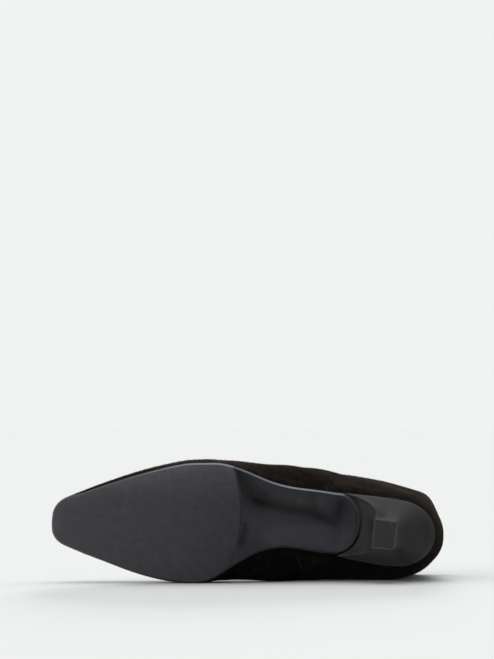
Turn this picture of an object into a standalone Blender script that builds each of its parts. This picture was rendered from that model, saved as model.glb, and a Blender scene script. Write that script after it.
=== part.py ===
"""A left ankle boot lying on its medial side: outsole, heel, top lift, upper and insole, each a closed solid.

The shoe is worked out standing, in millimetres: x from the back of the heel seat (0) to the toe,
y towards the lateral side, z up from the ground. It is then turned onto its medial side and set on the
floor, in metres.
"""
import bmesh
import bpy
import numpy as np
from mathutils import Matrix, Vector

MM = 0.001
COLLECTION = "ankle_boot_left"

# Overall sizes
SHOE_LENGTH = 260.2
SEAT_BACK = -0.2
GAP = 0.3
WALL = 1.8
COLLAR_FRONT_Z = 174.0
COLLAR_BACK_Z = 170.0
LIE_ROLL = 2.5
LIE_TILT = 1.0

# Plan of the sole's edge, a row for each section: x, lateral, medial
SOLE_PLAN = (
    (260.2, 6.0, -18.7),
    (254.5, 8.8, -20.8),
    (240.0, 14.9, -25.9),
    (220.0, 22.6, -32.2),
    (200.0, 29.6, -38.4),
    (180.0, 35.4, -42.6),
    (167.0, 38.2, -43.9),
    (156.0, 39.1, -43.6),
    (148.5, 39.3, -41.4),
    (141.5, 38.5, -36.7),
    (129.0, 34.8, -27.8),
    (116.0, 29.9, -20.2),
    (104.0, 26.4, -17.2),
    (91.0, 24.5, -17.6),
    (78.0, 23.5, -19.4),
    (64.0, 21.6, -19.6),
)
# Plan of the heel seat's edge: x, lateral, medial
SEAT_PLAN = (
    (66.0, 21.9, -20.8),
    (52.0, 21.4, -23.6),
    (38.0, 20.5, -26.1),
    (24.0, 19.0, -26.6),
    (0.0, 17.0, -24.9),
)
# Side profile of the bottom: x, height of the sole's underside, thickness up to the last
PROFILE = (
    (-6.0, 51.6, 0.3),
    (20.0, 50.0, 0.6),
    (32.0, 48.6, 1.4),
    (45.0, 46.35, 3.0),
    (60.0, 42.4, 3.6),
    (80.0, 34.4, 3.6),
    (100.0, 24.6, 3.6),
    (120.0, 14.6, 3.7),
    (140.0, 6.2, 3.8),
    (155.0, 2.1, 4.0),
    (170.0, 0.3, 4.2),
    (190.0, 0.0, 4.2),
    (215.0, 1.2, 4.0),
    (240.0, 4.2, 3.8),
    (262.0, 8.5, 3.6),
)
TOE_ROUND_FROM = 249.0
TOE_ROUNDNESS = 3.0
SEAT_ROUND_FROM = 24.0
SEAT_ROUNDNESS = 2.1
TONGUE_FROM = 66.0
TONGUE_BACK = 51.0
TONGUE_ROUNDNESS = 2.0

# Underside relief of the outsole
EDGE_BEVEL = 1.2
EDGE_BEVEL_HEIGHT = 1.5
TOP_INSET = 0.2
TREAD_BACK = 136.0
TREAD_BACK_SLOPE = 0.7
TREAD_BOW = 6.5
TREAD_BOW_REACH = 45.0
TREAD_STEP = 0.9
STEP_ENDS_AT = 96.0
STEP_FADE = 36.0
STEP_MEDIAL_END = 1.25
STEP_MEDIAL_FADE = 0.9
WAIST_HOLLOW = 1.7
HOLLOW_FADE = 30.0
HOLLOW_ENDS_AT = 52.0
HOLLOW_END_FADE = 14.0

# Heel block and top lift
HEEL_FRONT_LATERAL = 62.5
HEEL_FRONT_MEDIAL = 66.0
TONGUE_CLEARANCE = 0.55
HEEL_HOLLOW = 1.55
BREAST_HOLLOW = 2.6
BREAST_TAPER = 1.1
BREAST_BACK = 30.0
BREAST_BLEND = 7.0
BREAST_STEP = 0.06
HEEL_LEVELS = (0.06, 0.13, 0.22, 0.34, 0.48, 0.63, 0.8)
BREAST_SPREAD = 1.6
BREAST_EASE = 1.5
LIFT_HEIGHT = 5.0
LIFT_FRONT = ((37.3, 6.1), (38.5, -13.7))
LIFT_BACK = ((21.7, 4.6), (23.2, -14.2))
LIFT_CORNER = 2.2
LIFT_CORNER_POINTS = 5
LIFT_BEVEL = 0.7
LIFT_PROUD = 0.15

# Upper: where the vamp meets the leg, and how the sides swell
THROAT_X = 116.0
TOE_CROWN_X = 246.5
THROAT_BACK_Z = 97.0
FEATHER_INSET = 0.4
SEAT_BLEND_FRONT = 78.0
SEAT_BLEND = 14.0
DOME_FULLNESS = 2.05
UPRIGHT_FROM = 0.3
# x, lateral swell, its height over the feather, medial swell, its height, fullness of the crown
SWELL = (
    (260.0, 0.6, 6.0, 0.6, 6.0, 2.3),
    (240.0, 1.3, 8.0, 0.9, 8.0, 2.3),
    (220.0, 1.9, 10.0, 1.1, 10.0, 2.3),
    (200.0, 2.3, 13.0, 1.1, 12.0, 2.3),
    (180.0, 2.4, 17.0, 0.8, 14.0, 2.3),
    (160.0, 2.4, 22.0, 0.2, 18.0, 2.35),
    (147.0, 2.2, 27.0, 1.2, 24.0, 2.4),
    (135.0, 4.2, 31.0, 8.6, 28.0, 2.4),
    (122.0, 8.2, 35.0, 19.0, 31.0, 2.4),
    (108.0, 12.8, 38.0, 25.4, 34.0, 2.4),
    (94.0, 14.5, 40.0, 25.2, 36.0, 2.4),
    (78.0, 14.6, 40.0, 21.8, 36.0, 2.4),
    (62.0, 13.6, 38.0, 19.6, 34.0, 2.4),
    (46.0, 10.0, 34.0, 15.0, 32.0, 2.4),
    (30.0, 8.0, 30.0, 10.8, 30.0, 2.4),
    (12.0, 6.2, 28.0, 7.6, 28.0, 2.4),
    (0.0, 3.7, 26.0, 3.7, 26.0, 2.4),
)
# Crown of the vamp: x, y, z
CROWN = (
    (247.0, -7.6, 31.0),
    (235.0, -8.2, 35.2),
    (220.0, -8.6, 38.6),
    (200.0, -8.8, 43.0),
    (180.0, -8.6, 48.8),
    (160.0, -8.0, 57.0),
    (145.0, -7.0, 65.0),
    (132.0, -5.4, 74.4),
    (123.0, -4.0, 82.8),
    (116.0, -3.0, 91.0),
)
# Leg: z, back, front, widest x, lateral, medial, fullness of the lateral back
LEG = (
    (91.0, -3.0, 116.0, 76.0, 37.0, -40.8, 1.86),
    (103.0, -0.8, 109.4, 73.0, 35.6, -40.6, 2.15),
    (118.0, 1.4, 104.2, 70.0, 33.8, -40.2, 2.65),
    (136.0, 2.6, 101.0, 68.0, 32.4, -39.6, 2.75),
    (155.0, 2.8, 100.2, 68.0, 32.0, -39.0, 2.7),
    (175.0, 2.4, 101.2, 68.0, 32.2, -38.4, 2.6),
)
LEG_BACK_Y = -6.8
LEG_FRONT_Y = -2.0
LEG_FRONT_FULLNESS = 2.2
LEG_MEDIAL_FULLNESS = 2.5
LEG_MEDIAL_THINNING = 0.3
LEG_SECTION_POINTS = 91
# The soft leg stands out on its lateral back and draws in behind it: angle from the front, spread, size
LEG_SLOUCH = (
    (135.0, 10.0, 2.0),
    (160.0, 13.0, -1.5),
)
SLOUCH_FROM_Z = 112.0
SLOUCH_RISE = 28.0
FLOOR_SOFTNESS = 1.2

# Insole
INSOLE_THICKNESS = 2.6
INSOLE_INSET = 2.9

# Resolution
TOE_STEPS = 6
FORE_STEPS = 13
WAIST_STEPS = 9
BACK_STEPS = 8
LOWER_ROWS = 4
UPPER_ROWS = 7
LEG_ROWS = 9
SOLE_ACROSS = 11
HEEL_ACROSS = 13
INSOLE_ACROSS = 9
RELAX_ROUNDS = 14
RELAX_STEP = 0.5
BEND_CENTRE = (116.0, 0.0, 89.0)
BEND_REACH = 48.0
ANKLE_Z = 93.0
ANKLE_REACH = 34.0
ANKLE_SHARE = 0.7
WELD = 1e-5


# ---------------------------------------------------------------- curves
def curve(rows, column, at):
    """A smooth curve through one column of a table whose first column is the position."""
    table = np.array(sorted(rows))
    x, y = table[:, 0], table[:, column]
    slope = np.gradient(y, x)
    at = np.clip(np.asarray(at, float), x[0], x[-1])
    k = np.clip(np.searchsorted(x, at) - 1, 0, len(x) - 2)
    h = x[k + 1] - x[k]
    t = (at - x[k]) / h
    start = (1 + 2 * t) * (1 - t) ** 2 * y[k] + t * (1 - t) ** 2 * h * slope[k]
    end = t * t * (3 - 2 * t) * y[k + 1] - t * t * (1 - t) * h * slope[k + 1]
    return start + end


def smoothstep(t):
    t = np.clip(t, 0.0, 1.0)
    return t * t * (3 - 2 * t)


def quarter(steps):
    """Angles over a quarter turn, without the last."""
    return np.linspace(0.0, np.pi / 2, steps + 1)[:-1]


def toe_stations():
    return TOE_ROUND_FROM + (SHOE_LENGTH - TOE_ROUND_FROM) * np.cos(quarter(TOE_STEPS))


def seat_stations():
    return SEAT_ROUND_FROM - (SEAT_ROUND_FROM - SEAT_BACK) * np.cos(quarter(BACK_STEPS))[::-1]


def tongue_stations():
    return TONGUE_FROM - (TONGUE_FROM - TONGUE_BACK) * np.cos(quarter(TOE_STEPS))[::-1]


def round_end(x, start, tip, power):
    """1 before start, falling to 0 at the tip as a superellipse."""
    t = np.clip((x - start) / (tip - start), 0.0, 1.0)
    return (1 - t**power) ** (1 / power)


def plan_edges(rows, x):
    """Lateral and medial edges in plan at each x, rounded at the toe and at the back of the seat."""
    lateral = curve(rows, 1, x)
    medial = curve(rows, 2, x)
    middle = (lateral + medial) / 2
    ends = round_end(x, TOE_ROUND_FROM, SHOE_LENGTH, TOE_ROUNDNESS)
    if rows is SEAT_PLAN:
        ends = round_end(x, SEAT_ROUND_FROM, SEAT_BACK, SEAT_ROUNDNESS)
    lateral = middle + (lateral - middle) * ends
    medial = middle + (medial - middle) * ends
    return np.column_stack([x, lateral]), np.column_stack([x, medial])


def shifted(lateral, medial, distance):
    """Both edges moved inwards in plan by a distance; they run from the toe to the back."""
    whole = np.vstack([lateral, medial[::-1]])
    along = np.roll(whole, -1, axis=0) - np.roll(whole, 1, axis=0)
    if not np.allclose(lateral[0], medial[0]):
        along[0] = whole[1] - whole[0]
        along[-1] = whole[-1] - whole[-2]
    else:
        along[0] = along[-1] = whole[1] - whole[-2]
    count = len(lateral)
    if np.allclose(lateral[-1], medial[-1]):
        along[count - 1] = along[count] = whole[count + 1] - whole[count - 2]
    else:
        along[count - 1] = whole[count - 1] - whole[count - 2]
        along[count] = whole[count + 1] - whole[count]
    inward = np.column_stack([along[:, 1], -along[:, 0]])
    inward /= np.linalg.norm(inward, axis=1)[:, None]
    if inward[count // 2, 1] > 0:
        inward = -inward
    moved = whole + inward * distance
    return moved[:count], moved[count:][::-1]


def last_z(x):
    """Height of the last's underside, where sole, heel, insole and upper meet."""
    return curve(PROFILE, 1, x) + curve(PROFILE, 2, x)


# ---------------------------------------------------------------- meshes
def across(lateral, medial, count):
    """A plan grid between two edges, one row for each station."""
    t = np.linspace(0.0, 1.0, count)[None, :, None]
    return lateral[:, None, :] * (1 - t) + medial[:, None, :] * t


def grid_vertices(mesh, grid):
    """Vertices of a grid; a row that has shrunk to a point gets one."""
    made = []
    for row in grid:
        if np.ptp(row, axis=0).max() < 1e-6:
            point = mesh.verts.new(row[0])
            made.append([point] * len(row))
        else:
            made.append([mesh.verts.new(point) for point in row])
    return made


def grid_faces(mesh, made):
    for near, far in zip(made, made[1:]):
        for a, b, c, d in zip(near, near[1:], far[1:], far):
            corners = list(dict.fromkeys((a, b, c, d)))
            if len(corners) > 2:
                mesh.faces.new(corners)


def rim(made):
    """Boundary of a grid, once round: lateral edge, back row, medial edge, front row."""
    loop = [row[0] for row in made]
    loop += made[-1][1:-1] + [row[-1] for row in made[::-1]]
    loop += made[0][-2:0:-1]
    return list(dict.fromkeys(loop))


def bridge(mesh, loop, other):
    for k in range(len(loop)):
        after = (k + 1) % len(loop)
        mesh.faces.new((loop[k], loop[after], other[after], other[k]))


def capped(bottom, rings, top):
    """A closed mesh: two grids of the same layout, joined through rings that follow their rim."""
    mesh = bmesh.new()
    low = grid_vertices(mesh, bottom)
    high = grid_vertices(mesh, top)
    grid_faces(mesh, low)
    grid_faces(mesh, high)
    loop = rim(low)
    for ring in rings:
        following = [mesh.verts.new(point) for point in ring]
        bridge(mesh, loop, following)
        loop = following
    bridge(mesh, loop, rim(high))
    return mesh


def rim_points(grid):
    """The rim of a grid as points, in the order that rim() gives its vertices."""
    loop = [tuple(row[0]) for row in grid]
    loop += [tuple(point) for point in grid[-1][1:-1]]
    loop += [tuple(row[-1]) for row in grid[::-1]]
    loop += [tuple(point) for point in grid[0][-2:0:-1]]
    kept = [np.array(loop[0])]
    for point in loop[1:]:
        if np.linalg.norm(np.array(point) - kept[-1]) > 1e-6:
            kept.append(np.array(point))
    if np.linalg.norm(kept[0] - kept[-1]) < 1e-6:
        kept.pop()
    return np.array(kept)


def with_z(plan, z):
    return np.concatenate([plan, z[..., None]], axis=-1)


# ---------------------------------------------------------------- outsole
def sole_stations():
    """Stations from toe to tongue, with a close pair at the tread's back edge."""
    fore = np.linspace(TOE_ROUND_FROM, TREAD_BACK + TREAD_BACK_SLOPE / 2, FORE_STEPS)
    waist = np.linspace(TREAD_BACK - TREAD_BACK_SLOPE / 2, TONGUE_FROM, WAIST_STEPS)
    return np.concatenate([toe_stations(), fore, waist, tongue_stations()])


def sole_plan(inset):
    x = sole_stations()
    lateral, medial = plan_edges(SOLE_PLAN, x)
    middle = (lateral + medial) / 2
    tongue = round_end(x, TONGUE_FROM, TONGUE_BACK, TONGUE_ROUNDNESS)[:, None]
    lateral = middle + (lateral - middle) * tongue
    medial = middle + (medial - middle) * tongue
    lateral, medial = shifted(lateral, medial, inset)
    return across(lateral, medial, SOLE_ACROSS)


def bowed(plan):
    """Bends the plan's rows near the tread's back edge into an arc."""
    side = np.linspace(-1.0, 1.0, plan.shape[1])[None, :]
    station = sole_stations()[:, None]
    near = smoothstep(1 - np.abs(station - TREAD_BACK) / TREAD_BOW_REACH)
    bent = plan.copy()
    bent[..., 0] -= TREAD_BOW * (1 - side**2) * near
    return bent


def underside(plan):
    """Height of the sole's underside: flat tread, a step at its back, then a waist hollowed crosswise."""
    station = np.broadcast_to(sole_stations()[:, None], plan.shape[:2])
    side = np.broadcast_to(np.linspace(-1.0, 1.0, plan.shape[1])[None, :], plan.shape[:2])
    z = curve(PROFILE, 1, plan[..., 0])
    fade = smoothstep((station - STEP_ENDS_AT) / STEP_FADE)
    fade = fade * smoothstep((STEP_MEDIAL_END - side) / STEP_MEDIAL_FADE)
    z = z + np.where(station < TREAD_BACK, TREAD_STEP * fade, 0.0)
    hollow = smoothstep((TREAD_BACK - station) / HOLLOW_FADE)
    hollow = hollow * smoothstep((station - HOLLOW_ENDS_AT) / HOLLOW_END_FADE)
    return z + WAIST_HOLLOW * hollow * (1 - side**2)


def build_outsole():
    low = bowed(sole_plan(EDGE_BEVEL))
    high = bowed(sole_plan(TOP_INSET))
    edge = bowed(sole_plan(0.0))
    bottom = with_z(low, underside(low))
    top = with_z(high, last_z(high[..., 0]) - GAP)
    belt = with_z(edge, curve(PROFILE, 1, edge[..., 0]) + EDGE_BEVEL_HEIGHT)
    return capped(bottom, [rim_points(belt)], top)


# ---------------------------------------------------------------- heel and top lift
def heel_stations():
    straight = np.linspace(HEEL_FRONT_LATERAL, SEAT_ROUND_FROM, WAIST_STEPS - 2)
    return np.concatenate([straight, seat_stations()])


def heel_across(lateral, medial):
    """A plan grid over the heel, its lines closer towards both sides."""
    t = (0.5 - 0.5 * np.cos(np.linspace(0.0, np.pi, HEEL_ACROSS)))[None, :, None]
    return lateral[:, None, :] * (1 - t) + medial[:, None, :] * t


def breast_line(y):
    """x of the heel's front edge at the seat: it follows the sole's tongue and ends in a horn each side."""
    lateral = float(curve(SOLE_PLAN, 1, TONGUE_FROM))
    medial = float(curve(SOLE_PLAN, 2, TONGUE_FROM))
    across_tongue = (y - (lateral + medial) / 2) / ((lateral - medial) / 2)
    depth = np.sqrt(1 - np.clip(np.abs(across_tongue), 0.0, 1.0) ** 2)
    tongue = TONGUE_FROM - (TONGUE_FROM - TONGUE_BACK) * depth
    side = np.clip((across_tongue + 1) / 2, 0.0, 1.0)
    horns = HEEL_FRONT_MEDIAL + (HEEL_FRONT_LATERAL - HEEL_FRONT_MEDIAL) * side
    return np.minimum(tongue - TONGUE_CLEARANCE, horns)


def seat_plan():
    """Plan of the heel's seat, its front edge hollowed to take the sole's tongue."""
    lateral, medial = plan_edges(SEAT_PLAN, heel_stations())
    plan = heel_across(lateral, medial)
    shift = breast_line(plan[0, :, 1]) - HEEL_FRONT_LATERAL
    share = (HEEL_FRONT_LATERAL - plan[:, 0, 0]) / (HEEL_FRONT_LATERAL - SEAT_BACK)
    spread = np.clip(1 - share[:, None] * BREAST_SPREAD, 0.0, 1.0) ** BREAST_EASE
    plan[..., 0] += shift[None, :] * spread
    return plan


def lift_side(front, back, corner, count):
    """From the front corner along the side, round the back corner and to the middle of the back."""
    front, back, middle = Vector(front), Vector(back), Vector(corner)
    along = (back - front).normalized()
    inward = (middle - back).normalized()
    turns = np.linspace(0.0, np.pi / 2, LIFT_CORNER_POINTS)
    arc = [
        back - along * LIFT_CORNER * (1 - np.sin(a)) + inward * LIFT_CORNER * (1 - np.cos(a))
        for a in turns
    ]
    straight_count = count - len(arc) - 1
    straight = [front.lerp(arc[0], t) for t in np.linspace(0, 1, straight_count + 1)[:-1]]
    return np.array([tuple(p) for p in straight + arc] + [tuple(middle)])


def lift_plan(grow):
    """Plan of the heel's foot and of the top lift, laid out like the seat's plan."""
    count = len(heel_stations())
    middle = (np.array(LIFT_BACK[0]) + np.array(LIFT_BACK[1])) / 2
    lateral = lift_side(LIFT_FRONT[0], LIFT_BACK[0], middle, count)
    medial = lift_side(LIFT_FRONT[1], LIFT_BACK[1], middle, count)
    centre = (np.array(LIFT_FRONT).mean(0) + np.array(LIFT_BACK).mean(0)) / 2
    plan = heel_across(lateral, medial)
    half_width = abs(LIFT_FRONT[0][1] - LIFT_FRONT[1][1]) / 2
    return centre + (plan - centre) * (1 + grow / half_width)


def build_heel():
    seat = seat_plan()
    foot = lift_plan(0.0)
    top = with_z(seat, last_z(seat[..., 0]) - GAP)
    bottom = with_z(foot, np.full(foot.shape[:2], LIFT_HEIGHT + GAP))
    start, end = rim_points(top), rim_points(bottom)
    breast = smoothstep((end[:, 0] - BREAST_BACK) / BREAST_BLEND)
    rings = []
    for share in HEEL_LEVELS:
        below_sole = np.clip((share - BREAST_STEP * breast) / (1 - BREAST_STEP * breast), 0.0, 1.0)
        back = 1 - (1 - below_sole) ** (HEEL_HOLLOW + (BREAST_HOLLOW - HEEL_HOLLOW) * breast)
        inward = 1 - (1 - below_sole) ** (HEEL_HOLLOW + (BREAST_TAPER - HEEL_HOLLOW) * breast)
        ring = start + (end - start) * share
        ring[:, 0] = start[:, 0] + (end[:, 0] - start[:, 0]) * back
        ring[:, 1] = start[:, 1] + (end[:, 1] - start[:, 1]) * inward
        rings.append(ring)
    return capped(top, rings, bottom)


def build_top_lift():
    under = lift_plan(-LIFT_BEVEL)
    full = lift_plan(LIFT_PROUD)
    bottom = with_z(under, np.zeros(under.shape[:2]))
    belt = with_z(full, np.full(full.shape[:2], LIFT_BEVEL))
    top = with_z(full, np.full(full.shape[:2], LIFT_HEIGHT))
    return capped(bottom, [rim_points(belt)], top)


# ---------------------------------------------------------------- upper
def feather():
    """The upper's lower edge, lateral and medial, from the toe round to the back of the seat."""
    fore = np.linspace(TOE_ROUND_FROM, THROAT_X, FORE_STEPS)
    back = np.linspace(THROAT_X, SEAT_ROUND_FROM, WAIST_STEPS + 1)[1:]
    x = np.concatenate([toe_stations(), fore, back, seat_stations()])
    sole_lateral, sole_medial = plan_edges(SOLE_PLAN, x)
    seat_lateral, seat_medial = plan_edges(SEAT_PLAN, x)
    seat = smoothstep((SEAT_BLEND_FRONT - x) / SEAT_BLEND)[:, None]
    lateral = sole_lateral * (1 - seat) + seat_lateral * seat
    medial = sole_medial * (1 - seat) + seat_medial * seat
    return shifted(lateral, medial, FEATHER_INSET)


def outward(lateral, medial):
    """Unit normals in plan, pointing out of the shoe, along both edges."""
    wide_lateral, wide_medial = shifted(lateral, medial, -1.0)
    return wide_lateral - lateral, wide_medial - medial


def leg_section(z, side):
    """Half of the leg's horizontal section, from the front round to the back."""
    back, front, widest = (float(curve(LEG, k, z)) for k in (1, 2, 3))
    reach = float(curve(LEG, 4 if side > 0 else 5, z))
    turn = np.linspace(0.0, np.pi, LEG_SECTION_POINTS)
    cos, sin = np.cos(turn), np.sin(turn)
    back_fullness = float(curve(LEG, 6, z))
    fullness = LEG_FRONT_FULLNESS + (back_fullness - LEG_FRONT_FULLNESS) * smoothstep(0.5 - cos)
    if side < 0:
        fullness = LEG_MEDIAL_FULLNESS - LEG_MEDIAL_THINNING * smoothstep(-cos)
    x_reach = np.where(cos > 0, front - widest, widest - back)
    x = widest + x_reach * np.sign(cos) * np.abs(cos) ** (2 / fullness)
    axis = LEG_BACK_Y + (LEG_FRONT_Y - LEG_BACK_Y) * (x - back) / (front - back)
    axis_widest = LEG_BACK_Y + (LEG_FRONT_Y - LEG_BACK_Y) * (widest - back) / (front - back)
    y = axis + (reach - axis_widest) * np.abs(sin) ** (2 / fullness)
    section = np.column_stack([x, y])
    return section + slouch(section, np.degrees(turn), z) if side > 0 else section


def slouch(section, degrees, z):
    """How far the soft leg stands out from its plain section, at each point."""
    along = np.gradient(section, axis=0)
    out = np.column_stack([along[:, 1], -along[:, 0]])
    out /= np.linalg.norm(out, axis=1)[:, None]
    size = sum(high * np.exp(-(((degrees - at) / spread) ** 2)) for at, spread, high in LEG_SLOUCH)
    return out * (size * smoothstep((z - SLOUCH_FROM_Z) / SLOUCH_RISE))[:, None]


def lengthwise(line):
    """Share of a line's length at each of its points."""
    step = np.linalg.norm(np.diff(line, axis=0), axis=1)
    travelled = np.concatenate([[0.0], np.cumsum(step)])
    return travelled / travelled[-1]


def leg_point(z, share, side):
    section = leg_section(z, side)
    at = lengthwise(section)
    return np.array([np.interp(share, at, section[:, 0]), np.interp(share, at, section[:, 1]), z])


def dome(k, fullness):
    """Shares of the way in and up, from the widest line to the crown."""
    turn = np.pi / 2 * k / UPPER_ROWS
    return 1 - np.cos(turn) ** (2 / fullness), np.sin(turn) ** (2 / DOME_FULLNESS)


def column(foot, normal, swell, lift, crown, fullness, upright):
    """One line of the upper, from the feather out to its widest and up to the crown."""
    foot, crown = np.array(foot), np.array(crown)
    widest = foot + np.array([normal[0] * swell, normal[1] * swell, lift])
    points = []
    for k in range(LOWER_ROWS):
        t = k / LOWER_ROWS
        out = np.sin(t * np.pi / 2)
        point = foot + (widest - foot) * out
        point[2] = foot[2] + lift * t
        points.append(point)
    for k in range(UPPER_ROWS + 1):
        inward, up = dome(k, fullness)
        wall_up = k / UPPER_ROWS
        wall_in = smoothstep(wall_up)
        inward = inward * (1 - upright) + wall_in * upright
        up = up * (1 - upright) + wall_up * upright
        point = widest + (crown - widest) * inward
        point[2] = widest[2] + (crown[2] - widest[2]) * up
        points.append(point)
    return points


def side_columns(edge, normal, side):
    """All lines of one side, toe to heel: those of the vamp, then those of the quarter and leg."""
    fore = TOE_STEPS + FORE_STEPS
    share = lengthwise(edge[fore - 1:])
    columns = []
    for k, (x, y) in enumerate(edge):
        foot = (x, y, float(last_z(x)))
        swell = float(curve(SWELL, 1 if side > 0 else 3, x))
        lift = float(curve(SWELL, 2 if side > 0 else 4, x))
        fullness = float(curve(SWELL, 5, x))
        if k < fore:
            along = max(x - THROAT_X, 0.0) / (SHOE_LENGTH - THROAT_X)
            station = THROAT_X + (TOE_CROWN_X - THROAT_X) * along
            crown = (station, float(curve(CROWN, 1, station)), float(curve(CROWN, 2, station)))
            columns.append(column(foot, normal[k], swell, lift, crown, fullness, 0.0))
            continue
        at = share[k - fore + 1]
        throat_z = LEG[0][0] + (THROAT_BACK_Z - LEG[0][0]) * at
        crown = leg_point(throat_z, at, side)
        upright = float(smoothstep(at / UPRIGHT_FROM))
        line = column(foot, normal[k], swell, lift, crown, fullness, upright)
        columns.append(line + leg_line(throat_z, at, side))
    columns[fore - 1] += leg_line(LEG[0][0], 0.0, side)
    return columns


def leg_line(throat_z, share, side):
    """The part of a line above the throat."""
    collar_z = COLLAR_FRONT_Z + (COLLAR_BACK_Z - COLLAR_FRONT_Z) * share
    heights = np.linspace(throat_z, collar_z, LEG_ROWS + 1)[1:]
    return [leg_point(z, share, side) for z in heights]


def lie_normal():
    """The floor's upward direction, in the standing shoe's axes."""
    turn = lying_turn()
    return np.array(turn.inverted() @ Vector((0.0, 0.0, 1.0)))


def lying_turn():
    """Turns the standing shoe onto its medial side, sole towards -y and toe towards -x."""
    onto_side = Matrix(((-1, 0, 0), (0, 0, 1), (0, 1, 0)))
    roll = Matrix.Rotation(np.radians(LIE_ROLL), 3, "Y")
    tilt = Matrix.Rotation(np.radians(-LIE_TILT), 3, "X")
    return tilt @ roll @ onto_side


def floor_height():
    """Height of the floor along its own direction: the lowest point of the sole's edge."""
    edge = bowed(sole_plan(0.0))
    belt = with_z(edge, curve(PROFILE, 1, edge[..., 0]) + EDGE_BEVEL_HEIGHT)
    return float((belt.reshape(-1, 3) @ lie_normal()).min())


def pressed(points, floor):
    """Flattens what would reach the floor, with a soft edge."""
    up = lie_normal()
    height = points @ up - floor
    eased = (height + FLOOR_SOFTNESS) ** 2 / (4 * FLOOR_SOFTNESS)
    soft = np.where(height > FLOOR_SOFTNESS, height, eased)
    soft = np.where(height < -FLOOR_SOFTNESS, 0.0, soft)
    return points + up[None, :] * (soft - height)[:, None]


def relaxed(mesh):
    """Eases the bend between vamp and leg, and less so the belt round the ankle."""
    centre = Vector(BEND_CENTRE)
    for _ in range(RELAX_ROUNDS):
        moves = []
        for vertex in mesh.verts:
            bend = smoothstep(1 - (vertex.co - centre).length / BEND_REACH)
            belt = smoothstep(1 - abs(vertex.co.z - ANKLE_Z) / ANKLE_REACH)
            share = float(max(bend, ANKLE_SHARE * belt))
            if share <= 0 or vertex.is_boundary:
                continue
            around = [edge.other_vert(vertex).co for edge in vertex.link_edges]
            mean = sum(around, Vector()) / len(around)
            moves.append((vertex, (mean - vertex.co) * RELAX_STEP * share))
        for vertex, move in moves:
            vertex.co += move


def build_upper():
    lateral_edge, medial_edge = feather()
    lateral_normal, medial_normal = outward(lateral_edge, medial_edge)
    lateral = side_columns(lateral_edge, lateral_normal, 1)
    medial = side_columns(medial_edge, medial_normal, -1)
    fore = TOE_STEPS + FORE_STEPS
    crown_row = LOWER_ROWS + UPPER_ROWS
    mesh = bmesh.new()
    left = [[mesh.verts.new(p) for p in line] for line in lateral]
    right = [left[0]]
    for k, line in enumerate(medial[1:-1], start=1):
        made = []
        for row, point in enumerate(line):
            shared = k < fore and row == crown_row or k == fore - 1 and row >= crown_row
            made.append(left[k][row] if shared else mesh.verts.new(point))
        right.append(made)
    right.append(left[-1])
    for side in (left, right):
        grid_faces(mesh, [line[:crown_row + 1] for line in side[:fore]])
        grid_faces(mesh, side[fore - 1:])
    relaxed(mesh)
    points = pressed(np.array([tuple(v.co) for v in mesh.verts]), floor_height())
    for vertex, point in zip(mesh.verts, points):
        vertex.co = point
    return mesh


# ---------------------------------------------------------------- insole
def build_insole():
    lateral, medial = feather()
    lateral, medial = shifted(lateral, medial, INSOLE_INSET - FEATHER_INSET)
    plan = across(lateral, medial, INSOLE_ACROSS)
    low = last_z(plan[..., 0])
    return capped(with_z(plan, low), [], with_z(plan, low + INSOLE_THICKNESS))


# ---------------------------------------------------------------- objects
def material(name, colour, roughness):
    made = bpy.data.materials.new(name)
    made.use_nodes = True
    shader = made.node_tree.nodes["Principled BSDF"]
    shader.inputs["Base Color"].default_value = (*colour, 1.0)
    shader.inputs["Roughness"].default_value = roughness
    return made


def laid_down(meshes, floor):
    """From standing millimetres to lying metres, on the floor, the middle of the whole over the origin."""
    place = Matrix.Scale(MM, 4) @ Matrix.Translation((0.0, 0.0, -floor)) @ lying_turn().to_4x4()
    for mesh in meshes:
        bmesh.ops.remove_doubles(mesh, verts=mesh.verts, dist=WELD)
        bmesh.ops.recalc_face_normals(mesh, faces=mesh.faces)
        bmesh.ops.transform(mesh, matrix=place, verts=mesh.verts)
    corners = np.array([tuple(vertex.co) for mesh in meshes for vertex in mesh.verts])
    middle = (corners.min(0) + corners.max(0)) / 2
    for mesh in meshes:
        bmesh.ops.translate(mesh, vec=(-middle[0], -middle[1], 0.0), verts=mesh.verts)


def add(name, mesh, colour, roughness, collection):
    data = bpy.data.meshes.new(name)
    mesh.to_mesh(data)
    mesh.free()
    thing = bpy.data.objects.new(name, data)
    collection.objects.link(thing)
    data.materials.append(material(name, colour, roughness))
    return thing


def build():
    for thing in list(bpy.data.objects):
        bpy.data.objects.remove(thing)
    collection = bpy.data.collections.new(COLLECTION)
    bpy.context.scene.collection.children.link(collection)
    outsole, heel, top_lift = build_outsole(), build_heel(), build_top_lift()
    insole, upper = build_insole(), build_upper()
    laid_down((outsole, heel, top_lift, insole, upper), floor_height())
    add("outsole", outsole, (0.022, 0.024, 0.028), 0.42, collection)
    add("heel", heel, (0.03, 0.03, 0.031), 0.5, collection)
    add("top_lift", top_lift, (0.028, 0.028, 0.03), 0.6, collection)
    add("insole", insole, (0.05, 0.045, 0.042), 0.7, collection)
    shell = add("upper", upper, (0.018, 0.016, 0.015), 0.95, collection).modifiers.new("wall", "SOLIDIFY")
    shell.thickness = WALL * MM
    shell.offset = -1.0
    shell.use_even_offset = True
    shell.use_rim = True


build()
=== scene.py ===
"""A left suede ankle boot lying on its inner side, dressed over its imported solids.

Sizes are in millimetres and, where they say "shoe", in the standing shoe's own axes: x from the back of the
heel seat to the toe, y towards the outer (lateral) side and z up from the ground.
"""
import math

import bmesh
import bpy
import numpy as np
from mathutils import Matrix, Vector
from mathutils.bvhtree import BVHTree


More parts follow.
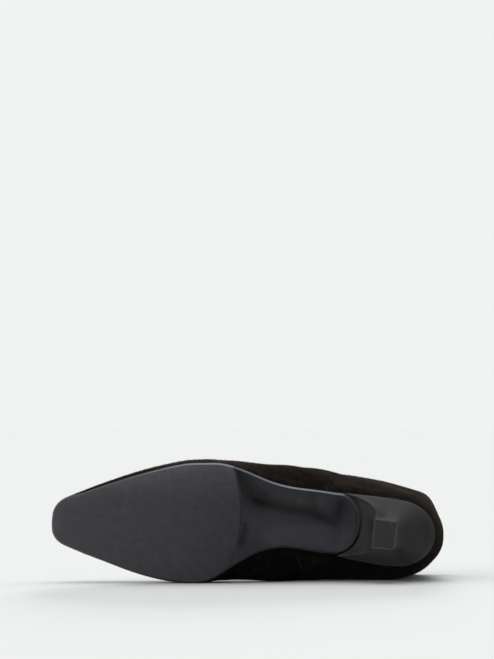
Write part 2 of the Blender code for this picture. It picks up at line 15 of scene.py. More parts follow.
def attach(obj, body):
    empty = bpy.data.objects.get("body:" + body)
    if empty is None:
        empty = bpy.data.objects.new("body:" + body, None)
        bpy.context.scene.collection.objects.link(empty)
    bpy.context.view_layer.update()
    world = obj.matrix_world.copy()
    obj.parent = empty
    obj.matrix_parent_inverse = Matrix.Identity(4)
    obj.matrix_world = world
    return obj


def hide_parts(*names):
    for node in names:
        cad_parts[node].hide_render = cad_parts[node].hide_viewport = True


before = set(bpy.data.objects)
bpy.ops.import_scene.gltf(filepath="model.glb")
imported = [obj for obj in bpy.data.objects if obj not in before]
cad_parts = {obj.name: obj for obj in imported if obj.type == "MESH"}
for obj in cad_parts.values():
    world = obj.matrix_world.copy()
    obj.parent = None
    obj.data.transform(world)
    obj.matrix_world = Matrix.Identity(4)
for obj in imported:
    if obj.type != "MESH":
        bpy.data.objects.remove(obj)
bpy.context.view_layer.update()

# ------------------------------------------------------------------ insole
# The insole board with its sock: a 2.6 mm board covered with smooth dyed leather, glued in before the heel
# is nailed on. Only its top shows, down the leg. Its edge is spread until it meets the lining.
MM = 0.001
SOCK_BLACK = "#24211f"
SOCK_SPREAD = 1.5
# How far sideways the surface faces where the spread starts, and where it is full
SOCK_EDGE = (0.2, 0.5)
# Patches of colour in smooth leather: their size, and how much lighter or darker they are
LEATHER_CLOUD = (16.0, 0.3)
# Real pores are a third of this and too fine to show, so they are drawn coarser
SOCK_PORE = 0.9
# A noise texture lies nearly all between these
NOISE_LOW = 0.3
NOISE_HIGH = 0.7
# Where the standing shoe's origin lies in the frame, and the turns in degrees that lay the shoe down
SHOE_ORIGIN = (128.906, -86.684, 36.804)
LIE_ROLL = 2.5
LIE_TILT = 1.0
# Triangles are joined to a quad that is flat and square within these angles
FLAT_WITHIN = 25.0
SQUARE_WITHIN = 60.0
WELD = 0.002
# Rounds bring a smoothed surface back onto its own points, and edges that fold by more than this stay sharp
SMOOTH_LEVELS = 2
SMOOTH_ROUNDS = 4
SHARP_FROM = 35.0


def linear(hex_colour):
    """An sRGB hex colour as linear red, green, blue and alpha."""
    channels = [int(hex_colour[k:k + 2], 16) / 255 for k in (1, 3, 5)]
    return [c / 12.92 if c <= 0.04045 else ((c + 0.055) / 1.055) ** 2.4 for c in channels] + [1.0]


def fill(node, inputs):
    """Fills a node's inputs, by name or number, with other nodes' sockets or with plain values."""
    for name, value in inputs.items():
        if isinstance(value, bpy.types.NodeSocket):
            node.id_data.links.new(value, node.inputs[name])
        else:
            node.inputs[name].default_value = value


def add_node(tree, kind, inputs=None, **settings):
    """Adds a node, its inputs filled. A setting is one of its properties or, by name, a value of an input."""
    made = tree.nodes.new(kind)
    for name, value in settings.items():
        if name in made.bl_rna.properties:
            setattr(made, name, value)
        else:
            fill(made, {name.replace("_", " "): value})
    fill(made, inputs or {})
    return made


def new_material(name, **shader_values):
    """A material with its tree and its shader, whose own sockets take the values."""
    made = bpy.data.materials.new(name)
    made.use_nodes = True
    shader = made.node_tree.nodes["Principled BSDF"]
    fill(shader, {name.replace("_", " "): value for name, value in shader_values.items()})
    return made, made.node_tree, shader


def new_object(name, data):
    """An object of its own in the scene."""
    made = bpy.data.objects.new(name, data)
    bpy.context.scene.collection.objects.link(made)
    return made


def shoe_turn():
    """Turns the standing shoe onto its inner side, as the solids lie."""
    onto_side = Matrix(((-1, 0, 0), (0, 0, 1), (0, 1, 0)))
    roll = Matrix.Rotation(math.radians(LIE_ROLL), 3, "Y")
    tilt = Matrix.Rotation(math.radians(-LIE_TILT), 3, "X")
    return np.array(tilt @ roll @ onto_side)


def to_shoe(points):
    """Points of the frame, in metres, in the standing shoe's millimetres."""
    return (np.asarray(points, float) / MM - np.array(SHOE_ORIGIN)) @ shoe_turn()


def to_frame(points):
    """Points of the shoe, in millimetres, in the frame's metres."""
    return (np.asarray(points, float) @ shoe_turn().T + np.array(SHOE_ORIGIN)) * MM


def eased(values, none_at, full_at):
    """0 at one value and 1 at the other, with a soft start and end, whichever of the two is larger."""
    share = np.clip((values - none_at) / (full_at - none_at), 0.0, 1.0)
    return share * share * (3 - 2 * share)


def read_points(data, what="co"):
    """A mesh's points as rows, or with "normal" the way that each faces."""
    rows = np.zeros(len(data.vertices) * 3)
    data.vertices.foreach_get(what, rows)
    return rows.reshape(-1, 3)


def put_points(data, points):
    """Moves a mesh's points to these rows."""
    data.vertices.foreach_set("co", np.asarray(points, np.float32).ravel())
    data.update()


def merged_copy(node, name, sharp):
    """A merged copy of a CAD solid in quads, creased where it folds by more than a number of degrees."""
    mesh = bmesh.new()
    mesh.from_mesh(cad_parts[node].data)
    bmesh.ops.remove_doubles(mesh, verts=mesh.verts, dist=WELD * MM)
    bmesh.ops.join_triangles(mesh, faces=mesh.faces, angle_face_threshold=math.radians(FLAT_WITHIN),
                             angle_shape_threshold=math.radians(SQUARE_WITHIN))
    crease = mesh.edges.layers.float.new("crease_edge")
    for edge in mesh.edges:
        edge[crease] = 1.0 if edge.calc_face_angle(0.0) > math.radians(sharp) else 0.0
    for face in mesh.faces:
        face.smooth = True
    data = bpy.data.meshes.new(name)
    mesh.to_mesh(data)
    mesh.free()
    return new_object(name, data)


def applied(piece):
    """The piece with its modifiers made part of its mesh."""
    depsgraph = bpy.context.evaluated_depsgraph_get()
    depsgraph.update()
    data = bpy.data.meshes.new_from_object(piece.evaluated_get(depsgraph), depsgraph=depsgraph)
    piece.modifiers.clear()
    piece.data = data
    data.name = piece.name
    return piece


def smoothed(piece):
    """Subdivides a piece so that the smooth surface still passes through its own points."""
    surface = piece.modifiers.new("smooth", "SUBSURF")
    surface.levels = surface.render_levels = SMOOTH_LEVELS
    target = read_points(piece.data)
    for _ in range(SMOOTH_ROUNDS):
        depsgraph = bpy.context.evaluated_depsgraph_get()
        depsgraph.update()
        reached = read_points(piece.evaluated_get(depsgraph).data)[:len(target)]
        put_points(piece.data, read_points(piece.data) + (target - reached))
    applied(piece)
    mesh = bmesh.new()
    mesh.from_mesh(piece.data)
    for edge in mesh.edges:
        edge.smooth = edge.calc_face_angle(0.0) < math.radians(SHARP_FROM)
    mesh.to_mesh(piece.data)
    mesh.free()
    return piece


def dressed(piece, node, materials):
    """Gives a piece its materials, hides the CAD solid that it stands for, and attaches it to the root."""
    for material in materials:
        piece.data.materials.append(material)
    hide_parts(node)
    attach(piece, "root")


def cloudy(tree, shader, colour, patch, spread):
    """Base colour that drifts lighter and darker by a share, in patches of a size in millimetres.

    Gives back the drifting colour, its clouds, and the coordinates that they are on."""
    place = add_node(tree, "ShaderNodeTexCoord").outputs["Object"]
    clouds = add_node(tree, "ShaderNodeTexNoise", {"Vector": place}, Scale=1 / (patch * MM), Detail=4.0)
    share = add_node(tree, "ShaderNodeMapRange", {"Value": clouds.outputs["Fac"]}, clamp=False,
                     From_Min=NOISE_LOW, From_Max=NOISE_HIGH, To_Min=1.0 - spread, To_Max=1.0 + spread)
    drift = add_node(tree, "ShaderNodeVectorMath", {0: linear(colour)[:3], "Scale": share.outputs["Result"]},
                     operation="SCALE")
    fill(shader, {"Base Color": drift.outputs["Vector"]})
    return drift, clouds, place


def smooth_leather(name, colour, pore, **shader_values):
    """Dyed leather with pores of a size in millimetres."""
    made, tree, shader = new_material(name, **shader_values)
    _, _, place = cloudy(tree, shader, colour, *LEATHER_CLOUD)
    pores = add_node(tree, "ShaderNodeTexVoronoi", {"Vector": place}, Scale=1 / (pore * MM))
    grain = add_node(tree, "ShaderNodeBump", {"Height": pores.outputs["Distance"]},
                     Strength=0.25, Distance=0.2 * MM)
    fill(shader, {"Normal": grain.outputs["Normal"]})
    return made


# Aniline-dyed sheep leather with a light finish: a soft half gloss, broken by its pores
sock_leather = smooth_leather("dyed_sock_leather", SOCK_BLACK, SOCK_PORE, Roughness=0.55)

insole = smoothed(merged_copy("insole", "insole_sock", sharp=40.0))
facing = read_points(insole.data, "normal") @ shoe_turn()
sideways = np.linalg.norm(facing[:, :2], axis=1)
spread = SOCK_SPREAD * eased(sideways, *SOCK_EDGE) / np.maximum(sideways, SOCK_EDGE[0])
points = to_shoe(read_points(insole.data))
points[:, :2] += facing[:, :2] * spread[:, None]
put_points(insole.data, to_frame(points))
dressed(insole, "insole", [sock_leather])

# ------------------------------------------------------------------ upper
# The upper is black suede, a brushed kid or calf split with its nap outwards, in a front and a back section
# joined by a closed seam down each side and lined with smooth leather. It is lasted over the board; the leg
# is unstiffened and eases into soft folds round the ankle.
SUEDE, LINING = range(2)
SUEDE_BLACK = "#100f0f"
SUEDE_WORN_AND_LIT = "#37322f"
SUEDE_SHEEN = "#c9b4a8"
NAP_PATCH = 9.0
NAP_DRIFT = 0.24
# A real fibre is finer than a hair, so the pile is drawn as tufts of this size
NAP_TUFT = 0.6
LINING_BLACK = "#1e1c1b"
LINING_PORE = 0.7
# The side on the floor is flat: the suede on it, and the lining this far above
LINING_LIFT = 1.5
# The middle of the leg (shoe x, y), and the height from which it is straight
LEG_MIDDLE = (66.0, -3.0)
LEG_STRAIGHT = 140.0
# The middle line of foot and leg (shoe x, y, z), from the toe up
CENTRE_LINE = (
    (252, -8, 16), (200, -6, 26), (160, -4, 33), (130, -3, 46), (105, -3, 62),
    (84, -3, 84), (70, -3, 110), (*LEG_MIDDLE, LEG_STRAIGHT), (*LEG_MIDDLE, 180),
)
# Across the shoe, the medial side passes into the lateral one between these
SIDES_MEET = (-14.0, 6.0)
# Soft troughs, a row for each: points (shoe x, z) in side view, half width, depth, and the shares of it that
# show on the lateral and on the medial side
FOLDS = (
    (((119, 97), (101, 92), (80, 84), (60, 80)), 6.0, 1.5, 1.0, 0.6),
    (((110, 112), (92, 109), (70, 104), (46, 107)), 6.5, 1.2, 1.0, 0.5),
    (((130, 81), (113, 75), (97, 68)), 5.5, 0.9, 1.0, 0.6),
    (((104, 134), (84, 136), (60, 130), (36, 134)), 8.0, 0.9, 1.0, 0.3),
    (((32, 108), (18, 110), (4, 112)), 7.0, 1.6, 1.0, 0.3),
    (((176, 51), (169, 40), (163, 26)), 5.0, 0.5, 1.0, 0.7),
    (((160, 58), (152, 46), (148, 34)), 5.5, 0.6, 1.0, 0.7),
    (((114, 43), (101, 48), (88, 54)), 7.0, 0.9, 1.0, 0.0),
    (((84, 42), (108, 40), (146, 30)), 13.0, -2.7, 0.0, 1.0),
)
# A low ridge stands beside each trough: its share of the depth, and how many half widths away
RIDGE_SHARE = 0.35
RIDGE_AWAY = 1.9
# How light the suede is painted on each side, from its nap's lie and from painted shade and light: the medial
# side, towards the floor, is darker, and the lateral side, facing up to the light, is lighter. Then marks in
# it, a row for each as above, with the change for the depth
NAP_LIT_LATERAL = 0.43
NAP_SHADED_MEDIAL = 0.1
NAP_AND_LIGHT_MARKS = (
    # Painted shade in the hollow under the lateral ankle
    (((118, 39), (103, 42), (82, 49)), 10.0, -0.5, 1.0, 0.0),
    (((88, 66), (76, 60), (62, 62)), 7.0, 0.2, 1.0, 0.2),
    (((140, 34), (128, 38)), 5.0, 0.2, 1.0, 0.0),
    (((60, 46), (40, 50), (22, 56)), 7.0, -0.2, 1.0, 0.4),
    (((20, 118), (14, 138), (6, 162)), 6.0, 0.3, 1.0, 0.3),
    # A painted highlight along the counter's rim, where it stands against the leg
    (((30, 112), (22, 115), (12, 122), (8, 150)), 1.6, 0.5, 1.0, 0.0),
    (((200, 34), (180, 40), (165, 46)), 9.0, 0.15, 1.0, 1.0),
    (((84, 120), (80, 150)), 10.0, -0.15, 1.0, 1.0),
    (((110, 75), (96, 92)), 8.0, 0.15, 1.0, 1.0),
)
# Painted shade darkens the suede beside each bottom piece, where heel and sole shade it: fully up to one
# distance, and no more from the other
SHADED_BESIDE = (("heel", 3.0, 13.0), ("outsole", 2.0, 7.0))


def nearest_on(line, points):
    """The nearest place on a polyline to each point, how far away it is, and how far along, from 0 to 1."""
    line = np.array(line, float)
    lengths = np.linalg.norm(np.diff(line, axis=0), axis=1)
    start = np.concatenate([[0.0], np.cumsum(lengths)]) / lengths.sum()
    nearest = np.zeros_like(points)
    away = np.full(len(points), np.inf)
    along = np.zeros(len(points))
    for k, (a, b) in enumerate(zip(line, line[1:])):
        t = np.clip(((points - a) @ (b - a)) / ((b - a) @ (b - a)), 0.0, 1.0)
        foot = a + t[:, None] * (b - a)
        distance = np.linalg.norm(points - foot, axis=1)
        closer = distance < away
        nearest[closer] = foot[closer]
        away[closer] = distance[closer]
        along[closer] = (start[k] + t * (start[k + 1] - start[k]))[closer]
    return nearest, away, along


def bell(away, width):
    """A soft hump: 1 on a line, and nearly 0 at twice its half width."""
    return np.exp(-((away / width) ** 2))


def by_side(points, lateral, medial):
    """The lateral side's value or the medial side's, passing from one to the other across the shoe."""
    return medial + (lateral - medial) * eased(points[:, 1], *SIDES_MEET)


def folded(points):
    """Moves the upper's points out and in by its soft folds."""
    nearest, _, _ = nearest_on(CENTRE_LINE, points)
    out = points - nearest
    out /= np.linalg.norm(out, axis=1)[:, None]
    height = np.zeros(len(points))
    for line, width, depth, lateral, medial in FOLDS:
        _, away, along = nearest_on(line, points[:, [0, 2]])
        ends = np.sin(np.pi * np.clip(along, 0.02, 0.98)) ** 0.5
        ridge = RIDGE_SHARE * bell(away - RIDGE_AWAY * width, width)
        height += depth * (ridge - bell(away, width)) * ends * by_side(points, lateral, medial)
    return points + out * height[:, None]


def nap_and_light_of(points):
    """How light the suede is painted at each point, 0 to 1: its nap's lie, with painted shade and highlight.
    """
    nap_and_light = by_side(points, NAP_LIT_LATERAL, NAP_SHADED_MEDIAL)
    for line, width, change, lateral, medial in NAP_AND_LIGHT_MARKS:
        _, away, _ = nearest_on(line, points[:, [0, 2]])
        nap_and_light += change * bell(away, width) * by_side(points, lateral, medial)
    return np.clip(nap_and_light, 0.0, 1.0)


def inner_wall(piece):
    """The inner wall's faces: all that are reached from the middle of the leg without crossing a crease."""
    mesh = bmesh.new()
    mesh.from_mesh(piece.data)
    crease = mesh.edges.layers.float["crease_edge"]
    middle = Vector(to_frame([*LEG_MIDDLE, LEG_STRAIGHT]))
    waiting = [min(mesh.faces, key=lambda face: (face.calc_center_median() - middle).length)]
    wall = set(waiting)
    while waiting:
        for edge in waiting.pop().edges:
            if edge[crease] < 0.5:
                waiting.extend(face for face in edge.link_faces if face not in wall)
                wall.update(edge.link_faces)
    numbers = {face.index for face in wall}
    mesh.free()
    return numbers


def surface_of(piece):
    """A piece's surface, to measure from or to meet."""
    return BVHTree.FromObject(piece, bpy.context.evaluated_depsgraph_get())


def distances(piece, in_frame):
    """How far points of the frame are from a piece, in millimetres."""
    surface = surface_of(piece)
    return np.array([surface.find_nearest(Vector(point))[3] for point in in_frame]) / MM


def mark_points(piece, name, values):
    """Keeps a value for each point of a piece, for its material to read."""
    marks = piece.data.attributes.new(name, "FLOAT", "POINT")
    marks.data.foreach_set("value", values.astype(np.float32))


upper = merged_copy("upper", "upper_suede", sharp=40.0)
lined = inner_wall(upper)
for polygon in upper.data.polygons:
    polygon.material_index = LINING if polygon.index in lined else SUEDE
smoothed(upper)
points = folded(to_shoe(read_points(upper.data)))
lowest = np.zeros(len(points))
for polygon in upper.data.polygons:
    if polygon.material_index == LINING:
        lowest[list(polygon.vertices)] = LINING_LIFT * MM
in_frame = to_frame(points)
in_frame[:, 2] = np.maximum(in_frame[:, 2], lowest)
put_points(upper.data, in_frame)
# The nap's lie, with painted shade and highlight, as a lightness for each point
lightness = nap_and_light_of(points)
# Painted shade beside the heel and the sole
for node, dark_to, free_from in SHADED_BESIDE:
    lightness *= eased(distances(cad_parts[node], in_frame), dark_to, free_from)
mark_points(upper, "nap_and_light", lightness)

# Brushed suede has no gloss at all: its pile swallows light, goes from black to a worn brown where it lies
# the other way, and glows a little along its rim. The same blend paints shade on the side towards the floor
# and beside the heel and sole, and paints light on the side facing up and a highlight on the counter's rim
suede, tree, shader = new_material(
    "brushed_black_suede", Roughness=0.95, Specular_IOR_Level=0.0,
    Sheen_Weight=0.08, Sheen_Roughness=0.4, Sheen_Tint=linear(SUEDE_SHEEN),
)
place = add_node(tree, "ShaderNodeTexCoord").outputs["Object"]
mottle = add_node(tree, "ShaderNodeTexNoise", {"Vector": place}, Scale=1 / (NAP_PATCH * MM),
                  Detail=6.0, Roughness=0.68)
stroked = add_node(tree, "ShaderNodeMapRange", {"Value": mottle.outputs["Fac"]}, clamp=False,
                   From_Min=NOISE_LOW, From_Max=NOISE_HIGH, To_Min=-NAP_DRIFT, To_Max=NAP_DRIFT)
nap_and_light = add_node(tree, "ShaderNodeAttribute", attribute_name="nap_and_light")
lie_and_light = add_node(tree, "ShaderNodeMath", {0: nap_and_light.outputs["Fac"], 1: stroked.outputs["Result"]},
                 operation="ADD", use_clamp=True)
colour = add_node(tree, "ShaderNodeMix", {"Factor": lie_and_light.outputs["Value"]}, data_type="RGBA",
                  A=linear(SUEDE_BLACK), B=linear(SUEDE_WORN_AND_LIT))
tufts = add_node(tree, "ShaderNodeTexNoise", {"Vector": place}, Scale=1 / (NAP_TUFT * MM),
                 Detail=3.0, Roughness=0.7)
pile = add_node(tree, "ShaderNodeBump", {"Height": tufts.outputs["Fac"]}, Strength=0.5, Distance=0.4 * MM)
fill(shader, {"Base Color": colour.outputs["Result"], "Normal": pile.outputs["Normal"]})

# Lining leather is left without a finish, so it is duller than the sock, with finer pores
lining = smooth_leather("lining_leather", LINING_BLACK, LINING_PORE, Roughness=0.7, Specular_IOR_Level=0.15)
dressed(upper, "upper", [suede, lining])

# ------------------------------------------------------------------ side seams
# Each side has one closed seam, sewn inside and pressed flat: what shows is a thin pale line where the two
# cut edges meet and the nap parts, from the sole up to the collar.
SEAM_PALE = "#2b2826"
SEAM_CLOUD = (5.0, 0.5)
# The line is a thin cord, sunk into the suede so that only its crown shows
SEAM_RADIUS = 0.45
SEAM_SUNK = 0.2
SEAM_STEP = 2.5
# Points (shoe x, z) in side view
LATERAL_SEAM = ((75.3, 41.0), (72.6, 77.0), (69.5, 120.0), (67.5, 176.0))
MEDIAL_SEAM = ((93.1, 34.0), (87.3, 59.0), (79.5, 100.0), (72.0, 176.0))
# From the shoe's middle, this is well outside it
BEYOND = 120.0


def on_upper(aims):
    """Where lines from outside meet the upper, with its normals there. An aim is a place of the shoe in the
    upper's middle, and the way out from it."""
    surface = surface_of(upper)
    met = []
    for middle, out in aims:
        start = Vector(to_frame(np.array(middle) + BEYOND * np.array(out)))
        place, normal, _, _ = surface.ray_cast(start, Vector(shoe_turn() @ -np.array(out)))
        if place is not None:
            met.append((place, normal))
    return met


def from_side(side_view, side):
    """Aims at even steps along a line (shoe x, z), from the lateral (1) or the medial (-1) side."""
    line = np.array(side_view, float)
    lengths = np.concatenate([[0.0], np.cumsum(np.linalg.norm(np.diff(line, axis=0), axis=1))])
    steps = np.linspace(0.0, lengths[-1], int(lengths[-1] / SEAM_STEP) + 1)
    places = zip(np.interp(steps, lengths, line[:, 0]), np.interp(steps, lengths, line[:, 1]))
    return [((x, 0.0, z), (0.0, side, 0.0)) for x, z in places]


def path_object(name, places, closed=False):
    """A mesh of points and edges only, for a node tree to follow."""
    last = len(places) - 1
    edges = [(k, k + 1) for k in range(last)] + ([(last, 0)] if closed else [])
    data = bpy.data.meshes.new(name)
    data.from_pydata([tuple(place) for place in places], edges, [])
    return new_object(name, data)


def node_group(name, *sizes):
    """A Geometry Nodes group with geometry in and out and a number input for each size, and its end nodes."""
    group = bpy.data.node_groups.new(name, "GeometryNodeTree")
    group.interface.new_socket("Geometry", in_out="INPUT", socket_type="NodeSocketGeometry")
    group.interface.new_socket("Geometry", in_out="OUTPUT", socket_type="NodeSocketGeometry")
    for size in sizes:
        group.interface.new_socket(size, in_out="INPUT", socket_type="NodeSocketFloat")
    return group, add_node(group, "NodeGroupInput"), add_node(group, "NodeGroupOutput")


def end_group(group, result, geometry, material):
    """Ends a group in real geometry with its material set."""
    real = add_node(group, "GeometryNodeRealizeInstances", {"Geometry": geometry})
    finish = add_node(group, "GeometryNodeSetMaterial", {"Geometry": real.outputs["Geometry"]},
                      Material=material)
    fill(result, {"Geometry": finish.outputs["Geometry"]})


def grown(piece, group, **values):
    """The piece as its node group makes it, as a plain mesh, flat where it would sink into the floor."""
    modifier = piece.modifiers.new("nodes", "NODES")
    modifier.node_group = group
    for socket in group.interface.items_tree:
        if socket.item_type == "SOCKET" and socket.in_out == "INPUT" and socket.name in values:
            modifier[socket.identifier] = values[socket.name]
    applied(piece)
    points = read_points(piece.data)
    points[:, 2] = np.maximum(points[:, 2], 0.0)
    put_points(piece.data, points)
    return piece


# The cut edge of suede between its two brushed faces: as matt as they are, and a little paler
seam_edge, tree, shader = new_material("parted_suede_seam", Roughness=0.95, Specular_IOR_Level=0.0)
cloudy(tree, shader, SEAM_PALE, *SEAM_CLOUD)

seam_group, given, result = node_group("seam_line", "Radius")
path = add_node(seam_group, "GeometryNodeMeshToCurve", {"Mesh": given.outputs["Geometry"]})
ring = add_node(seam_group, "GeometryNodeCurvePrimitiveCircle", {"Radius": given.outputs["Radius"]},
                Resolution=6)
swept = add_node(seam_group, "GeometryNodeCurveToMesh", {
    "Curve": path.outputs["Curve"], "Profile Curve": ring.outputs["Curve"],
}, Fill_Caps=True)
end_group(seam_group, result, swept.outputs["Mesh"], seam_edge)
for name, side_view, side in (("seam_lateral", LATERAL_SEAM, 1), ("seam_medial", MEDIAL_SEAM, -1)):
    laid = [place - normal * SEAM_SUNK * MM for place, normal in on_upper(from_side(side_view, side))]
    seam = grown(path_object(name, laid), seam_group, Radius=SEAM_RADIUS * MM)
    seam.data.shade_smooth()
    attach(seam, "root")

# ------------------------------------------------------------------ suede nap
# The raised nap of the suede: short loose fibres that stand off the skin and catch the light where the upper
# is seen edge on. They are drawn fewer and thicker than the real ones, which are finer than a hair.
FIBRE_BROWN = "#554c45"
FIBRE_CLOUD = (3.0, 0.5)
# For each square millimetre
FIBRE_DENSITY = 0.6
FIBRE_LENGTH = 0.9
FIBRE_RADIUS = 0.055
# The most that a fibre leans each way, in radians
FIBRE_LEAN = 0.9
FIBRE_SEED = 7.0
# Heights above the floor: none stand lower than the first; they are painted darker near the floor as shade,
# darkest up to the second, and have their full colour from the third
FIBRE_FLOOR = 3.0
FIBRE_SHADED_TO = 14.0
FIBRE_LIT_FROM = 52.0
FIBRE_DEEPEST_SHADE = 0.04

# Loose fibres have no gloss: brown against the light, and painted darker low down with the shade near the
# floor
loose_fibres, tree, shader = new_material("loose_suede_fibres", Roughness=0.95, Specular_IOR_Level=0.0)
drift, _, place = cloudy(tree, shader, FIBRE_BROWN, *FIBRE_CLOUD)
height = add_node(tree, "ShaderNodeSeparateXYZ", {"Vector": place}).outputs["Z"]
light = add_node(tree, "ShaderNodeMapRange", {"Value": height}, interpolation_type="SMOOTHSTEP",
                 From_Min=FIBRE_SHADED_TO * MM, From_Max=FIBRE_LIT_FROM * MM, To_Min=FIBRE_DEEPEST_SHADE, To_Max=1.0)
colour = add_node(tree, "ShaderNodeVectorMath", {
    0: drift.outputs["Vector"], "Scale": light.outputs["Result"],
}, operation="SCALE")
fill(shader, {"Base Color": colour.outputs["Vector"]})

nap_group, given, result = node_group("standing_nap", "Density", "Length", "Radius", "Lean", "Seed")
strewn = add_node(nap_group, "GeometryNodeDistributePointsOnFaces", {
    "Mesh": given.outputs["Geometry"], "Density": given.outputs["Density"], "Seed": given.outputs["Seed"],
})
fibre = add_node(nap_group, "GeometryNodeMeshCone", {
    "Radius Bottom": given.outputs["Radius"], "Depth": given.outputs["Length"],
}, Vertices=3, fill_type="NONE")
other_way = add_node(nap_group, "ShaderNodeMath", {0: given.outputs["Lean"], 1: -1.0}, operation="MULTIPLY")
leaning = add_node(nap_group, "FunctionNodeRandomValue", {
    "Min": other_way.outputs["Value"], "Max": given.outputs["Lean"], "Seed": given.outputs["Seed"],
}, data_type="FLOAT_VECTOR")
turned = add_node(nap_group, "FunctionNodeRotateRotation", {
    "Rotation": strewn.outputs["Rotation"], "Rotate By": leaning.outputs["Value"],
}, rotation_space="LOCAL")
brushed_up = add_node(nap_group, "GeometryNodeInstanceOnPoints", {
    "Points": strewn.outputs["Points"], "Instance": fibre.outputs["Mesh"],
    "Rotation": turned.outputs["Rotation"],
})
end_group(nap_group, result, brushed_up.outputs["Instances"], loose_fibres)

mesh = bmesh.new()
mesh.from_mesh(upper.data)
bare = [
    face for face in mesh.faces
    if face.material_index == LINING or face.calc_center_median().z < FIBRE_FLOOR * MM
]
bmesh.ops.delete(mesh, geom=bare, context="FACES")
skin = new_object("suede_nap", bpy.data.meshes.new("suede_nap"))
mesh.to_mesh(skin.data)
mesh.free()
nap_fibres = grown(skin, nap_group, Density=FIBRE_DENSITY / MM ** 2, Length=FIBRE_LENGTH * MM,
                   Radius=FIBRE_RADIUS * MM, Lean=FIBRE_LEAN, Seed=FIBRE_SEED)
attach(nap_fibres, "root")

# ------------------------------------------------------------------ collar stitching
# The top edge is turned in over the lining and held by one row of black lockstitches round the leg, small
# rounded stitches with a gap between them, a little below the edge.
STITCH_BLACK = "#1c1a19"
STITCH_CLOUD = (1.2, 0.35)
STITCH_PITCH = 3.0
STITCH_LENGTH = 2.2
STITCH_WIDTH = 0.6
STITCH_BELOW = 4.0
STITCH_PROUD = 0.1
COLLAR_STEPS = 90
# The top edge is looked for within this many degrees of each step
COLLAR_NEAR = 5.0


def round_the_collar(below):
    """Aims all round the leg, a little below its top edge."""
    leg = to_shoe(read_points(upper.data))
    leg = leg[leg[:, 2] > LEG_STRAIGHT]
    turn = np.arctan2(leg[:, 1] - LEG_MIDDLE[1], leg[:, 0] - LEG_MIDDLE[0])
    aims = []
    for angle in np.linspace(-math.pi, math.pi, COLLAR_STEPS, endpoint=False):
        near = np.cos(turn - angle) > math.cos(math.radians(COLLAR_NEAR))
        height = leg[near, 2].max() - below
        aims.append(((*LEG_MIDDLE, height), (math.cos(angle), math.sin(angle), 0.0)))
    return aims


# Bonded nylon thread has a waxy half gloss on its round back
stitch_thread, tree, shader = new_material("black_lockstitch_thread", Roughness=0.6)
cloudy(tree, shader, STITCH_BLACK, *STITCH_CLOUD)

stitch_group, given, result = node_group("stitch_row", "Pitch", "Length", "Width")
path = add_node(stitch_group, "GeometryNodeMeshToCurve", {"Mesh": given.outputs["Geometry"]})
spaced = add_node(stitch_group, "GeometryNodeResampleCurve", {
    "Curve": path.outputs["Curve"], "Length": given.outputs["Pitch"],
}, mode="LENGTH")
bead = add_node(stitch_group, "GeometryNodeMeshUVSphere", Segments=6, Rings=4, Radius=0.5)
forwards = add_node(stitch_group, "GeometryNodeInputTangent")
turned = add_node(stitch_group, "FunctionNodeAlignRotationToVector", {"Vector": forwards.outputs["Tangent"]},
                  axis="Z")
size = add_node(stitch_group, "ShaderNodeCombineXYZ", {
    "X": given.outputs["Width"], "Y": given.outputs["Width"], "Z": given.outputs["Length"],
})
sewn = add_node(stitch_group, "GeometryNodeInstanceOnPoints", {
    "Points": spaced.outputs["Curve"], "Instance": bead.outputs["Mesh"],
    "Rotation": turned.outputs["Rotation"], "Scale": size.outputs["Vector"],
})
end_group(stitch_group, result, sewn.outputs["Instances"], stitch_thread)
laid = [place + normal * STITCH_PROUD * MM for place, normal in on_upper(round_the_collar(STITCH_BELOW))]
stitches = grown(path_object("collar_stitches", laid, closed=True), stitch_group,
                 Pitch=STITCH_PITCH * MM, Length=STITCH_LENGTH * MM, Width=STITCH_WIDTH * MM)
stitches.data.shade_smooth()
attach(stitches, "root")

# ------------------------------------------------------------------ outsole
# The sole is one thin moulding of black thermoplastic rubber. Its forepart is a slightly raised tread with
# very fine slanting ribs, the waist is plain, smooth and hollowed crosswise, and a round tongue ends it.
BOTTOM, EDGE, WALL = range(3)
TREAD_GREY = "#4d4c51"
# Painted shade in the grooves between the ribs
TREAD_GROOVE_SHADE = "#2b2a2e"
WAIST_GREY = "#3a3a40"
# Painted shade in the waist's hollows
WAIST_HOLLOW_SHADE = "#060709"
# Painted highlight on the lateral edge
EDGE_HIGHLIGHT = "#848b92"
EDGE_MEDIAL = "#1f2023"
WALL_BLACK = "#2d2e32"
WALL_CLOUD = (7.0, 0.25)
# Patches of wear on the tread and of handling on the waist, and scuffs on the tread
TREAD_PATCH = 13.0
WAIST_PATCH = 9.0
SCUFF_PATCH = 5.85
# The tread's rear edge is an arch: where it meets the sides, how far it bows back, its middle and half width
TREAD_BACK = 136.0
TREAD_BOW = 6.5
TREAD_MIDDLE = 2.7
TREAD_HALF = 33.7
# The ribs slant across the sole, in degrees. They are drawn as soft waves, no finer than still shows
RIB_PITCH = 1.05
RIB_SLANT = 45.0
# How squarely a face of the bottom looks down, how little sideways, and how little an edge's face looks down
BOTTOM_DOWN = 0.66
BOTTOM_SIDEWAYS = 0.35
EDGE_DOWN = 0.25
# The low wall at the tread's back is between these along the shoe
STEP_WITHIN = (112.0, 150.0)
# The bottom's rim is rounded where it folds by more than this
RIM_FOLDS = 28.0
EDGE_ROUND = 0.5
# The lateral edge and the toe in plan (shoe x, y), along which the tread rolls over towards the light and is
# painted paler with painted light
ROLLED_EDGE = (
    (259.5, -17.0), (260.0, 4.0), (254.5, 8.8), (240.0, 14.9), (220.0, 22.6), (200.0, 29.6), (180.0, 35.4),
    (167.0, 38.2), (156.0, 39.1), (148.5, 39.3), (141.5, 38.5), (129.0, 34.8),
)
ROLLED_WIDTH = 5.0
ROLLED_LIT_PALER = 0.3
